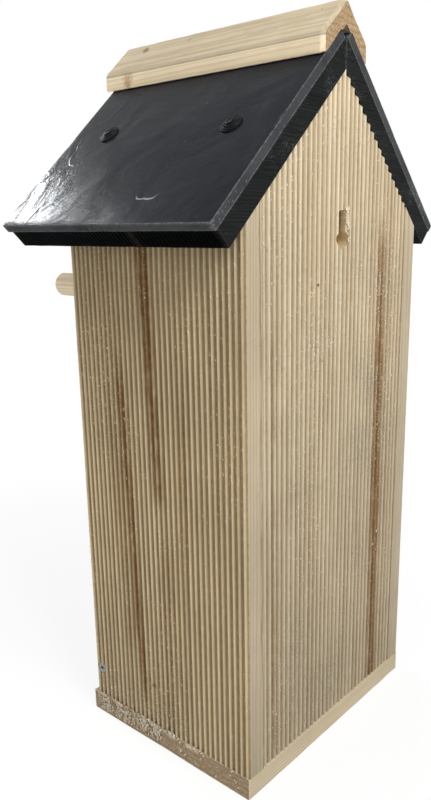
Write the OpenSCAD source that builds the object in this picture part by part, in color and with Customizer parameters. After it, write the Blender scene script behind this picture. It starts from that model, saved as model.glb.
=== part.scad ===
// Gabled bird nest box of ribbed boards, with a sheeted roof, a wooden ridge
// cap and a front panel that tilts open on two pivot screws near its foot.
// Origin: centre of the side walls' footprint, on the underside of the base. +Z is
// up and the entrance faces -Y.

/* [Boards] */
// Width of the ribbed board between the side walls
inner_w = 145; // [125:1:170]
// Depth of each side wall, front edge to back edge
side_depth = 138; // [120:0.5:160]
// Thickness of the wall boards
wall_t = 13.5; // [12.5:0.1:15]
// Ribs across each wall board
rib_count = 33; // [24:1:36]
// Depth of the grooves between ribs
groove_depth = 1.4; // [0.8:0.1:1.6]
// Thickness of the base board
base_t = 13.5; // [11:0.5:15]
// How far the base stands out in front of the side walls
base_lip = 3.3; // [0:0.1:6]

/* [Roof] */
// Height of the roof boards' upper ridge line above the ground
ridge_h = 424.5; // [400:0.5:450]
// Slope of the roof from the horizontal, in degrees
roof_angle = 44; // [38:1:50]
// Thickness of the roof boards
deck_t = 12; // [10:0.5:13]
// Length of the roof boards down the slope
deck_slope = 146; // [140:1:152]
// How far the roof boards reach past the side walls in front
front_overhang = 29.3; // [20:0.1:36]
// Width of the front roof board, along the ridge
front_board_w = 104.8; // [90:0.1:115]
// Thickness of the roof sheets
sheet_t = 5.2; // [3:0.1:6]
// How far the sheet reaches past the boards in front
sheet_lip = 2.2; // [0.5:0.1:3]
// How far the sheet reaches past the boards at the eave
sheet_eave_lip = 1; // [0.5:0.1:3]
// Distance from the ridge line to the sheet's top edge, down the slope
sheet_gap = 1.5; // [0.5:0.1:3]

/* [Ridge cap] */
// Half the width of the ridge cap
cap_half_w = 21; // [17:0.5:25]
// Height of the ridge cap's upright edges
cap_edge_h = 11.3; // [9:0.1:14]
// How far the ridge cap reaches past the front edge of the sheets
cap_lip = 6.8; // [2:0.1:10]

/* [Front panel] */
// Height of the pivot screws above the ground
pivot_h = 33.3; // [32:0.1:38]
// Distance from the side wall's front edge to the pivot screws
pivot_inset = 5.5; // [5:0.1:7]
// Diameter of the entrance hole
hole_d = 47; // [32:1:50]
// Height of the entrance hole's centre above the ground
hole_h = 326; // [318:1:332]
// Diameter of the perch
perch_d = 18; // [12:0.5:19]
// Distance from the entrance hole's lower edge down to the perch
perch_drop = 10.8; // [6:0.1:60]
// Length of the perch outside the panel
perch_len = 128; // [80:1:140]
// Depth of the perch's socket in the panel
socket_depth = 10; // [7:0.5:10.5]
// Gap between the panel and the side walls, at each side
panel_gap = 0.7; // [0.4:0.1:1]
// Gap under the panel
panel_foot_gap = 2.4; // [2.2:0.1:3]
// Gap between the panel's gable and the roof boards
panel_top_gap = 1; // [0.8:0.1:2]

/* [Hanger] */
// Diameter of the keyhole's round mouth
keyhole_d = 11; // [8:0.1:11.5]
// Width of the keyhole's slot
keyhole_slot = 6.6; // [4.6:0.1:7]
// Height of the keyhole's mouth above the ground
keyhole_h = 318.2; // [300:0.1:325]
// Distance from the mouth's centre up to the slot's upper end
keyhole_rise = 16.4; // [12:0.1:20]
// Thickness of wood left over the slot, for the screw head to grip
keyhole_lip = 3.6; // [3:0.1:5]
// Depth of the whole keyhole
keyhole_depth = 7.6; // [6.5:0.1:9.5]

/* [Fasteners] */
// Diameter of the screws' shanks
screw_d = 3.5; // [3:0.1:4]
// Diameter of the screws' countersunk heads
screw_head_d = 7; // [6.5:0.1:8]
// Length of the pivot and base screws
screw_len = 30; // [26:1:35]
// Diameter of the brads and deck nails
brad_d = 1.6; // [1.2:0.1:2]
// Distance of the base screws from the side walls' front and rear edges
base_screw_inset = 30; // [15:1:45]
// Distance of the outer wall brads from the side walls' lower and upper ends
wall_brad_inset = 45; // [20:1:80]
// Wall brads on each side
wall_brad_count = 3; // [2:1:5]
// Distance of the deck nails from the side walls' front and rear edges
nail_inset = 19; // [12:1:25]
// Distance of the deck nails from the seam between the roof boards
nail_seam_inset = 12; // [8:1:16]
// Length of the wall and ridge brads
brad_len = 25; // [20:1:28]
// Distance of the ridge brads from the ridge line, sideways
ridge_brad_x = 5; // [4:0.5:8]
// Distance of the front ridge brads from the cap's front end
ridge_brad_front = 63.8; // [20:0.1:90]
// Distance of the rear ridge brads from the cap's rear end
ridge_brad_back = 13.5; // [8:0.1:60]
// Length of the deck nails
nail_len = 22; // [20:1:24]
// Diameter of the roof washers
washer_d = 13; // [11:0.2:18]
// Height of the roof washers
washer_h = 2.4; // [2:0.1:4]
// Distance of the front washers from the ridge line, down the slope
washer_down_front = 69.5; // [60:0.1:85]
// Distance of the rear washers from the ridge line, down the slope
washer_down_back = 74.2; // [60:0.1:85]
// Distance of the front washers from the roof boards' front edge
washer_from_front = 32.7; // [25:0.1:45]
// Distance of the rear washers from the roof boards' rear edge
washer_from_back = 32.8; // [25:0.1:45]
// Length of the roof screws below the washers
roof_screw_len = 15; // [12:0.5:15.5]
// Radial clearance of every fastener in its hole
fit_gap = 0.05; // [0.03:0.01:0.1]

/* [Hidden] */
$fn = 48;

wood = "burlywood";
black = "dimgray";
steel = "silver";

back_y = side_depth / 2;
front_y = back_y - side_depth;
outer_x = inner_w / 2 + wall_t;
inner_front_y = front_y + wall_t;
inner_back_y = back_y - wall_t;
rib_points = 6;
open_top = 1.5;
deep = 400;

// the roof's underside and the planes that lie on it
deck_rise = deck_t / cos(roof_angle);
under_h = ridge_h - deck_rise;
sheet_rise = sheet_t / cos(roof_angle);
cap_seat_gap = 0.4;
cap_inner_h = ridge_h + sheet_rise + cap_seat_gap;
roof_front_y = front_y - front_overhang;
sheet_front_y = roof_front_y - sheet_lip;
cap_front_y = sheet_front_y - cap_lip;
seam_y = roof_front_y + front_board_w;

pivot_y = front_y + pivot_inset;
perch_h = hole_h - hole_d / 2 - perch_drop - perch_d / 2;
eave_h = under_h - outer_x * tan(roof_angle);
washer_ys = [roof_front_y + washer_from_front, back_y - washer_from_back];
washer_downs = [washer_down_front, washer_down_back];

// Outline of a board with ribs on its +Y side, x from 0 to its width
function ribbed_outline(width, thick) = concat(
    [[0, 0]],
    [for (i = [0:rib_count * rib_points])
        [i * width / (rib_count * rib_points),
         thick - groove_depth / 2 * (1 + cos(360 * i / rib_points))]],
    [[width, 0]]);

// Upright ribbed board: width along +X, ribs towards +Y
module ribbed_board(width, thick, low, high) {
    translate([0, 0, low])
        linear_extrude(height = high - low) polygon(ribbed_outline(width, thick));
}

// Everything below a plane pair that runs parallel to the roof, its ridge at height h
module below_roof(h) {
    drop = deep * tan(roof_angle);
    rotate([90, 0, 0])
        linear_extrude(height = 2 * deep, center = true)
            polygon([[-deep, h - drop - deep], [deep, h - drop - deep], [deep, h - drop], [0, h],
                     [-deep, h - drop]]);
}

// Moves children onto one slope: x runs down the slope, z is square to it
module on_slope(side) {
    mirror([side < 0 ? 1 : 0, 0, 0])
        translate([0, 0, ridge_h])
            rotate([0, roof_angle, 0]) children();
}

// A countersunk screw along -Z, its head's face at the origin. With grow above 0 it is
// the screw's hole, open above the head.
module screw(len, head_d, shank_d, grow) {
    if (grow > 0) cylinder(h = open_top, d = head_d + 2 * grow);
    cone_h = (head_d - shank_d) / 2;
    translate([0, 0, -cone_h])
        cylinder(h = cone_h, d1 = shank_d + 2 * grow, d2 = head_d + 2 * grow);
    translate([0, 0, -len - grow]) cylinder(h = len - cone_h + 2 * grow, d = shank_d + 2 * grow);
}

// A plain brad along -Z, its end at the origin. With grow above 0 it is the brad's hole,
// open at the top.
module brad(len, grow) {
    open = grow > 0 ? open_top : 0;
    translate([0, 0, -len - grow]) cylinder(h = len + grow + open, d = brad_d + 2 * grow, $fn = 24);
}

// Fastener layouts: each places its children at every fastener, -Z into the wood
module at_pivots() {
    for (side = [1, -1])
        translate([side * (outer_x - groove_depth / 2), pivot_y, pivot_h])
            rotate([0, side * 90, 0]) children();
}

module at_base_screws() {
    for (side = [1, -1], y = [front_y + base_screw_inset, back_y - base_screw_inset])
        translate([side * (outer_x - wall_t / 2), y, 0]) rotate([180, 0, 0]) children();
    translate([0, back_y - wall_t / 2, 0]) rotate([180, 0, 0]) children();
}

module at_wall_brads() {
    low = base_t + wall_brad_inset;
    step = (eave_h - wall_brad_inset - low) / (wall_brad_count - 1);
    for (side = [1, -1], i = [0:wall_brad_count - 1])
        translate([side * (outer_x - groove_depth), back_y - wall_t / 2, low + i * step])
            rotate([0, side * 90, 0]) children();
}

// distance down the slope at which a deck nail runs through the middle of a wall's top
wall_down = (outer_x - wall_t / 2) / cos(roof_angle) + (deck_t + nail_len) / 2 * tan(roof_angle);

module at_deck_nails() {
    ys = [front_y + nail_inset, seam_y - nail_seam_inset, seam_y + nail_seam_inset,
          back_y - nail_inset];
    for (side = [1, -1], y = ys)
        on_slope(side) translate([wall_down, y, 0]) children();
}

module at_roof_washers() {
    for (side = [1, -1], i = [0, 1])
        on_slope(side) translate([washer_downs[i], washer_ys[i], sheet_t]) children();
}

module at_ridge_brads() {
    top = cap_inner_h + cap_edge_h - ridge_brad_x * tan(roof_angle);
    for (side = [1, -1], y = [cap_front_y + ridge_brad_front, back_y - ridge_brad_back])
        translate([side * ridge_brad_x, y, top - brad_d / 2]) children();
}

module base_board() {
    color(wood)
        difference() {
            translate([-outer_x, front_y - base_lip, 0])
                cube([2 * outer_x, side_depth + base_lip, base_t]);
            at_base_screws() screw(screw_len, screw_head_d, screw_d, fit_gap);
        }
}

// The side wall on the +X side; the other one is its mirror image
module side_wall(side) {
    color(wood)
        mirror([side < 0 ? 1 : 0, 0, 0])
            difference() {
                intersection() {
                    translate([inner_w / 2, back_y, 0])
                        rotate([0, 0, -90]) ribbed_board(side_depth, wall_t, base_t, ridge_h);
                    below_roof(under_h);
                }
                at_pivots() screw(screw_len, screw_head_d, screw_d, fit_gap);
                at_base_screws() screw(screw_len, screw_head_d, screw_d, fit_gap);
                at_wall_brads() brad(brad_len, fit_gap);
                at_deck_nails() brad(nail_len, fit_gap);
            }
}

// Round mouth, slot and the wider channel behind the slot's lip
module keyhole() {
    translate([0, back_y + 1, keyhole_h]) rotate([90, 0, 0]) {
        cylinder(h = keyhole_depth + 1, d = keyhole_d);
        translate([-keyhole_slot / 2, 0, 0])
            cube([keyhole_slot, keyhole_rise - keyhole_slot / 2, keyhole_depth + 1]);
        translate([0, keyhole_rise - keyhole_slot / 2, 0])
            cylinder(h = keyhole_depth + 1, d = keyhole_slot);
        translate([0, 0, keyhole_lip + 1]) {
            translate([-keyhole_d / 2, 0, 0])
                cube([keyhole_d, keyhole_rise - keyhole_slot / 2, keyhole_depth - keyhole_lip]);
            translate([0, keyhole_rise - keyhole_slot / 2, 0])
                cylinder(h = keyhole_depth - keyhole_lip, d = keyhole_d);
        }
    }
}

module back_wall() {
    color(wood)
        difference() {
            intersection() {
                translate([-inner_w / 2, inner_back_y, 0])
                    ribbed_board(inner_w, wall_t, base_t, ridge_h);
                below_roof(under_h);
            }
            keyhole();
            at_base_screws() screw(screw_len, screw_head_d, screw_d, fit_gap);
            at_wall_brads() brad(brad_len, fit_gap);
        }
}

module front_panel() {
    panel_w = inner_w - 2 * panel_gap;
    color(wood)
        difference() {
            intersection() {
                translate([panel_w / 2, inner_front_y, 0])
                    rotate([0, 0, 180])
                        ribbed_board(panel_w, wall_t, base_t + panel_foot_gap, ridge_h);
                below_roof(under_h - panel_top_gap / cos(roof_angle));
            }
            translate([0, 0, hole_h])
                rotate([90, 0, 0]) cylinder(h = 2 * deep, d = hole_d, center = true, $fn = 96);
            translate([0, front_y + socket_depth, perch_h])
                rotate([90, 0, 0]) cylinder(h = deep, d = perch_d + 2 * fit_gap);
            at_pivots() screw(screw_len, screw_head_d, screw_d, fit_gap);
        }
}

module perch() {
    edge = 1.2;
    color(wood)
        translate([0, front_y + socket_depth - fit_gap, perch_h])
            rotate([90, 0, 0]) {
                len = socket_depth - fit_gap + perch_len;
                cylinder(h = len - edge, d = perch_d);
                translate([0, 0, len - edge])
                    cylinder(h = edge, d1 = perch_d, d2 = perch_d - 2 * edge);
            }
}

// One roof board from y0 to y1, its upper edge mitred at the ridge
module roof_board(side, y0, y1) {
    color(black)
        difference() {
            on_slope(side)
                difference() {
                    translate([0, y0, -deck_t]) cube([deck_slope, y1 - y0, deck_t]);
                    rotate([0, -roof_angle, 0])
                        translate([-deep, -deep, -deep / 2]) cube([deep, 2 * deep, deep]);
                }
            at_deck_nails() brad(nail_len, fit_gap);
            at_roof_washers() roof_screw(fit_gap);
            at_ridge_brads() brad(brad_len, fit_gap);
        }
}

module roof_sheet(side) {
    color(black)
        difference() {
            on_slope(side)
                translate([sheet_gap, sheet_front_y, 0])
                    cube([deck_slope + sheet_eave_lip - sheet_gap, back_y - sheet_front_y, sheet_t]);
            at_roof_washers() roof_screw(fit_gap);
            at_ridge_brads() brad(brad_len, fit_gap);
        }
}

// A stepped, ringed washer with a hole for its screw
module roof_washer() {
    difference() {
        rotate_extrude()
            polygon([[0, 0], [washer_d / 2, 0], [washer_d / 2, washer_h * 0.35],
                     [washer_d * 0.4, washer_h * 0.45], [washer_d * 0.36, washer_h * 0.3],
                     [washer_d * 0.32, washer_h * 0.65], [washer_d * 0.25, washer_h * 0.75],
                     [washer_d * 0.21, washer_h * 0.55], [washer_d * 0.17, washer_h],
                     [0, washer_h]]);
        roof_screw(fit_gap);
    }
}

// A roof screw standing on the sheet: shank down, small recessed head up
module roof_screw(grow) {
    translate([0, 0, -roof_screw_len - grow])
        cylinder(h = roof_screw_len + washer_h - 1.2 + grow, d = screw_d + 2 * grow);
    translate([0, 0, washer_h - 1.2 - grow])
        cylinder(h = 1.4 + 2 * grow, d = screw_d + 1.4 + 2 * grow);
}

module cap_outline() {
    drop = cap_half_w * tan(roof_angle);
    polygon([[0, cap_inner_h], [cap_half_w, cap_inner_h - drop],
             [cap_half_w, cap_inner_h - drop + cap_edge_h], [0, cap_inner_h + cap_edge_h],
             [-cap_half_w, cap_inner_h - drop + cap_edge_h], [-cap_half_w, cap_inner_h - drop]]);
}

module ridge_cap() {
    color(wood)
        difference() {
            translate([0, back_y, 0])
                rotate([90, 0, 0]) linear_extrude(height = back_y - cap_front_y) cap_outline();
            at_ridge_brads() brad(brad_len, fit_gap);
        }
}

base_board();
side_wall(1);  // side_wall_right
side_wall(-1);  // side_wall_left
back_wall();
front_panel();
perch();
color(steel) at_pivots() screw(screw_len, screw_head_d, screw_d, 0);  // pivot_screws
color(steel) at_base_screws() screw(screw_len, screw_head_d, screw_d, 0);  // base_screws
color(steel) at_wall_brads() brad(brad_len, 0);  // wall_brads
roof_board(1, roof_front_y, seam_y);  // roof_board_right_front
roof_board(1, seam_y, back_y);  // roof_board_right_rear
roof_board(-1, roof_front_y, seam_y);  // roof_board_left_front
roof_board(-1, seam_y, back_y);  // roof_board_left_rear
color(steel) at_deck_nails() brad(nail_len, 0);  // deck_nails
roof_sheet(1);  // roof_sheet_right
roof_sheet(-1);  // roof_sheet_left
color(black) at_roof_washers() roof_washer();  // roof_washers
color(steel) at_roof_washers() roof_screw(0);  // roof_screws
ridge_cap();
color(steel) at_ridge_brads() brad(brad_len, 0);  // ridge_brads
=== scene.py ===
import bpy, bmesh, math, random
from mathutils import Vector, Matrix, noise


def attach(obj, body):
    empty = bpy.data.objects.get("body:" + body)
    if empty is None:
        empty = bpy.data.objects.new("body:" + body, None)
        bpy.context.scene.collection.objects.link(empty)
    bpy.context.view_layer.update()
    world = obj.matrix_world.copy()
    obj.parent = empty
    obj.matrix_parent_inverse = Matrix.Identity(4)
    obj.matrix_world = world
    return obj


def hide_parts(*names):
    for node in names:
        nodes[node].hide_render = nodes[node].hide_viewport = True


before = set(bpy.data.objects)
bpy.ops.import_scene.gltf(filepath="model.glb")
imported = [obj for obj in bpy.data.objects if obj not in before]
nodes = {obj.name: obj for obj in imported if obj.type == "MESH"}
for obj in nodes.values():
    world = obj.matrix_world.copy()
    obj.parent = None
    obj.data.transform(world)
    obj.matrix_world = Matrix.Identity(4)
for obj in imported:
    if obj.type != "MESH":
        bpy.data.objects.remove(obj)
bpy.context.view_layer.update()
print("nest box: frame loaded")

boxSizes = {            # the shared sizes of the box, metres and degrees
    "halfWidth": 0.0860, "innerHalf": 0.0725, "wall": 0.0135, "frontY": -0.0690, "backY": 0.0690,
    "baseTop": 0.0135, "baseFront": -0.0723, "ridge": 0.4245, "slope": 44.0, "deck": 0.0120,
    "sheet": 0.0052, "ribs": 33, "ribDepth": 0.0014,
}
halfWidth, innerHalf, frontY, backY = (boxSizes[k] for k in ("halfWidth", "innerHalf", "frontY", "backY"))
baseTop, ridgeZ = boxSizes["baseTop"], boxSizes["ridge"]
slopeAngle = math.radians(boxSizes["slope"])
slopeCos, slopeSin, slopeTan = math.cos(slopeAngle), math.sin(slopeAngle), math.tan(slopeAngle)
underRidge = ridgeZ - boxSizes["deck"] / slopeCos


def wobble(x, y, z):
    return noise.noise(Vector((x, y, z)))


def onSlope(side, down, y, up):     # a point given down the slope and square to it
    return Vector((side * (down * slopeCos + up * slopeSin), y, ridgeZ - down * slopeSin + up * slopeCos))


def underRoof(x):       # height of the boards' underside over a point of the gable
    return underRidge - abs(x) * slopeTan


def addObject(name, data):
    thing = bpy.data.objects.new(name, data)
    bpy.context.scene.collection.objects.link(thing)
    return thing


# camera
cameraSetup = {
    "place": (0.35741, 0.30356, 0.32103), "yaw": -141.2118, "down": 13.6575, "roll": -0.1061,
    "lens": 32.724, "shiftX": -0.0691, "shiftY": 0.0140, "sensor": 36.0, "near": 0.01, "far": 50.0,
}


def makeCamera(setup):
    data = bpy.data.cameras.new("photoCamera")
    data.sensor_fit, data.sensor_height = "VERTICAL", setup["sensor"]
    data.lens, data.shift_x, data.shift_y = setup["lens"], setup["shiftX"], setup["shiftY"]
    data.clip_start, data.clip_end = setup["near"], setup["far"]
    yaw, down, roll = (math.radians(setup[k]) for k in ("yaw", "down", "roll"))
    ahead = Vector((math.cos(yaw) * math.cos(down), math.sin(yaw) * math.cos(down), -math.sin(down)))
    right = ahead.cross(Vector((0, 0, 1))).normalized()
    up = right.cross(ahead)
    right, up = right * math.cos(roll) + up * math.sin(roll), up * math.cos(roll) - right * math.sin(roll)
    camera = addObject("photoCamera", data)
    turn = Matrix((right, up, -ahead)).transposed()
    camera.matrix_world = Matrix.Translation(setup["place"]) @ turn.to_4x4()
    bpy.context.scene.camera = camera


makeCamera(cameraSetup)


# node helpers
def addNode(tree, kind, settings=None, inputs=None):
    node = tree.nodes.new(kind)
    for key, value in (settings or {}).items():
        setattr(node, key, value)
    for key, value in (inputs or {}).items():
        if isinstance(value, bpy.types.NodeSocket):
            tree.links.new(value, node.inputs[key])
        else:
            node.inputs[key].default_value = value
    return node


def addNext(kind, settings, inputs):     # adds a node to the tree that its inputs come from
    tree = next(value for value in inputs.values() if isinstance(value, bpy.types.NodeSocket)).id_data
    return addNode(tree, kind, settings, inputs)


def calc(operation, first, second=0.0, clamp=False):
    return addNext("ShaderNodeMath", {"operation": operation, "use_clamp": clamp}, {0: first, 1: second}).outputs[0]


def times(first, second):
    return calc("MULTIPLY", first, second)


def plus(first, second):
    return calc("ADD", first, second)


def minus(first, second):
    return calc("SUBTRACT", first, second)


def distance(first, second=0.0):      # how far two values are apart
    return calc("ABSOLUTE", minus(first, second))


def remap(value, low, high, toLow=0.0, toHigh=1.0, smooth=False):
    return addNext("ShaderNodeMapRange", {"interpolation_type": "SMOOTHSTEP" if smooth else "LINEAR"},
                   {"Value": value, "From Min": low, "From Max": high, "To Min": toLow,
                    "To Max": toHigh}).outputs["Result"]


def mixColour(amount, first, second, blend="MIX"):
    sides = {index: value if isinstance(value, bpy.types.NodeSocket) else (*value[:3], 1.0)
             for index, value in ((6, first), (7, second))}
    return addNext("ShaderNodeMix", {"data_type": "RGBA", "blend_type": blend}, {0: amount, **sides}).outputs[2]


def tinge(mask, depth, colour, other):     # lays another colour over, as deep as the mask allows
    return mixColour(times(mask, depth), colour, other)


def noiseAt(vector, scale, detail=4.0, rough=0.55, distortion=0.0):
    return addNext("ShaderNodeTexNoise", None, {"Vector": vector, "Scale": scale, "Detail": detail,
                                                "Roughness": rough, "Distortion": distortion}).outputs["Fac"]


def combine(kind, first, second, third):       # kind is XYZ or Color
    return addNext("ShaderNodeCombine" + kind, None, {0: first, 1: second, 2: third}).outputs[0]


def separate(vector):
    return addNext("ShaderNodeSeparateXYZ", None, {0: vector}).outputs


def vectorCalc(operation, first, second, output):
    return addNext("ShaderNodeVectorMath", {"operation": operation}, {0: first, 1: second}).outputs[output]


def newGroup(name, inputs, outputs):     # an input without a number is a vector
    group = bpy.data.node_groups.new(name, "ShaderNodeTree")
    for label, value in inputs.items():
        kind = "NodeSocketVector" if value is None else "NodeSocketFloat"
        socket = group.interface.new_socket(label, in_out="INPUT", socket_type=kind)
        if value is not None:
            socket.default_value = value
    for label in outputs:
        group.interface.new_socket(label, in_out="OUTPUT", socket_type="NodeSocketFloat")
    return group, group.nodes.new("NodeGroupInput").outputs, group.nodes.new("NodeGroupOutput").inputs


def useGroup(group, inputs):
    return addNext("ShaderNodeGroup", {"node_tree": group}, inputs).outputs


# shared effects
def makeGrainGroup():       # sawn pine: growth lines, fibre and blotches, grain along the third axis
    group, given, out = newGroup(
        "pineGrain", {"Vector": None, "Lines": 260.0, "Stretch": 0.035, "Waviness": 0.35},
        ("Growth", "Fibre", "Blotch"))
    parts = separate(given["Vector"])
    squeezed = combine("XYZ", parts[0], parts[1], times(parts[2], given["Stretch"]))
    shift = times(minus(noiseAt(squeezed, 34.0, 2.0), 0.5), given["Waviness"])
    across = plus(times(plus(parts[0], parts[1]), 14.0), shift)
    rings = calc("SINE", times(across, given["Lines"]))
    group.links.new(remap(rings, -0.2, 1.0, 0.0, 1.0, True), out["Growth"])
    group.links.new(noiseAt(squeezed, 1500.0, 3.0, 0.7), out["Fibre"])
    group.links.new(noiseAt(squeezed, 60.0, 3.0, 0.6), out["Blotch"])
    return group


def makeRibGroup():         # how near the crest of a milled rib a point is, across the board
    group, given, out = newGroup("ribBands", {"Across": 0.0, "Pitch": 0.0044}, ("Crest",))
    turn = calc("DIVIDE", times(given["Across"], math.pi), given["Pitch"])
    dip = calc("ABSOLUTE", calc("COSINE", turn))
    group.links.new(minus(1.0, calc("POWER", dip, 2.8)), out["Crest"])
    return group


def makeStreakGroup():      # a brown heartwood streak that wanders up the board
    group, given, out = newGroup(
        "heartStreak",
        {"Across": 0.0, "Up": 0.0, "Centre": 0.0, "Lean": 0.0, "Width": 0.003, "Low": 0.0, "High": 0.4}, ("Mask",))
    course = combine("XYZ", given["Across"], given["Centre"], times(given["Up"], 0.12))
    wander = times(minus(noiseAt(course, 160.0, 3.0), 0.5), 0.006)
    centre = plus(given["Centre"], times(given["Up"], given["Lean"]))
    away = calc("ABSOLUTE", plus(minus(given["Across"], centre), wander))
    band = remap(calc("DIVIDE", away, given["Width"]), 0.15, 1.0, 1.0, 0.0, True)
    rise = remap(minus(given["Up"], given["Low"]), 0.0, 0.02, 0.0, 1.0, True)
    fall = remap(minus(given["High"], given["Up"]), 0.0, 0.04, 0.0, 1.0, True)
    broken = remap(noiseAt(course, 420.0, 3.0, 0.7), 0.22, 0.52)
    group.links.new(times(times(band, broken), times(rise, fall)), out["Mask"])
    return group


def makeKnotGroup():        # one round knot with a dark rim
    group, given, out = newGroup("knotSpot", {"Vector": None, "Centre": None, "Size": 0.003}, ("Mask", "Rim"))
    gap = vectorCalc("DISTANCE", given["Vector"], given["Centre"], "Value")
    ragged = times(minus(noiseAt(given["Vector"], 420.0, 2.0), 0.5), 1.3)
    reach = plus(calc("DIVIDE", gap, given["Size"]), ragged)
    group.links.new(remap(reach, 0.3, 1.2, 1.0, 0.0, True), out["Mask"])
    group.links.new(remap(distance(reach, 1.0), 0.0, 0.35, 1.0, 0.0, True), out["Rim"])
    return group


def makeSpeckGroup():       # pale torn fibres and dust specks
    group, given, out = newGroup(
        "fibreSpecks", {"Vector": None, "Size": 900.0, "Amount": 0.5, "Patches": 18.0}, ("Mask",))
    fine = noiseAt(given["Vector"], given["Size"], 2.0, 0.6)
    patch = remap(noiseAt(given["Vector"], given["Patches"], 3.0, 0.6), 0.38, 0.68)
    level = minus(0.76, times(times(patch, given["Amount"]), 0.26))
    group.links.new(remap(minus(fine, level), 0.0, 0.05, 0.0, 1.0, True), out["Mask"])
    return group


def makeEdgeGroup():        # worn edges, from the rounded corner's normal against the flat one
    group, given, out = newGroup("edgeWear", {"Vector": None, "Width": 0.0012, "Breakup": 260.0}, ("Mask",))
    bevel = addNode(group, "ShaderNodeBevel", {"samples": 4}, {"Radius": given["Width"]}).outputs[0]
    flat = addNode(group, "ShaderNodeNewGeometry").outputs["True Normal"]
    worn = remap(vectorCalc("DOT_PRODUCT", bevel, flat, "Value"), 0.93, 1.0, 1.0, 0.0)
    patch = remap(noiseAt(given["Vector"], given["Breakup"], 4.0, 0.7), 0.35, 0.6)
    group.links.new(calc("MULTIPLY", worn, patch, True), out["Mask"])
    return group


grainGroup, ribGroup, streakGroup = makeGrainGroup(), makeRibGroup(), makeStreakGroup()
knotGroup, speckGroup, edgeGroup = makeKnotGroup(), makeSpeckGroup(), makeEdgeGroup()
print("nest box: shared effects ready")


# materials
def emptyTree(owner):
    owner.use_nodes = True
    owner.node_tree.nodes.clear()
    return owner.node_tree


def startMaterial(name, rough, gloss=0.5):
    material = bpy.data.materials.new(name)
    tree = emptyTree(material)
    shader = addNode(tree, "ShaderNodeBsdfPrincipled", None, {"Roughness": rough, "Specular IOR Level": gloss})
    tree.links.new(shader.outputs[0], addNode(tree, "ShaderNodeOutputMaterial").inputs["Surface"])
    place = addNode(tree, "ShaderNodeTexCoord").outputs["Object"]
    return material, shader, place, separate(place)


def finishMaterial(shader, colour, height, bumpDepth, rough=None):
    tree = shader.id_data
    tree.links.new(colour, shader.inputs["Base Color"])
    if rough:
        tree.links.new(rough, shader.inputs["Roughness"])
    bump = addNode(tree, "ShaderNodeBump", None, {"Height": height, "Distance": bumpDepth, "Strength": 1.0})
    tree.links.new(bump.outputs[0], shader.inputs["Normal"])


def useGrain(parts, axis, seed, lines):    # turns the board so its grain runs along the third axis
    order = {"x": (1, 2, 0), "y": (0, 2, 1), "z": (0, 1, 2)}[axis]
    moved = plus(parts[order[0]], seed)
    vector = combine("XYZ", moved, parts[order[1]], parts[order[2]])
    return useGroup(grainGroup, {"Vector": vector, "Lines": lines})


def wornEdges(place, width, breakup=260.0):
    return useGroup(edgeGroup, {"Vector": place, "Width": width, "Breakup": breakup})["Mask"]


def speckled(place, amount, size=900.0, patches=18.0):
    return useGroup(speckGroup, {"Vector": place, "Size": size, "Amount": amount, "Patches": patches})["Mask"]


pineTones = {"pale": (0.72, 0.615, 0.445), "plain": (0.60, 0.49, 0.325), "line": (0.45, 0.335, 0.195),
             "heart": (0.255, 0.128, 0.034), "fuzz": (0.90, 0.82, 0.66), "endGrain": (0.40, 0.275, 0.155),
             "endPore": (0.20, 0.125, 0.065), "orange": (0.64, 0.35, 0.12), "knotRim": (0.16, 0.08, 0.04),
             "dot": (0.03, 0.024, 0.02)}
pineFinish = {"rough": (0.62, 0.85), "gloss": 0.2, "growth": 0.42, "fibre": 0.25, "specks": 0.75, "worn": 0.35,
              "wornWidth": 0.001, "shadeGreenPower": 1.13, "shadeBluePower": 1.36, "grimeAndLitTint": (1.04, 0.86), "roofLine": 0.40,
              "bump": 0.00035}
pineLook = {        # what each pine board starts from
    "axis": "z", "seed": 0.0, "lines": 210.0,       # grain direction, shift and number of growth lines
    "rib": None,        # axis across the ribs, where they start, pitch
    "streaks": (),      # axis across, centre, lean, width, from, to, depth
    "knots": (),        # centre, size, fill, rim
    "dots": (),         # centre, size
    "tint": 1.0, "warm": 1.0, "edge": True, "fuzz": 0.5,
    "low": 0.9, "crest": (0.0, 0.85),       # painted shade in the grooves: its tone there, and where the lighter crest tone takes over
    "foot": (0.76, 1.10, 0.0),      # painted shade and light: tone at the foot, tone under the roof, height where it starts to rise
}


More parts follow.
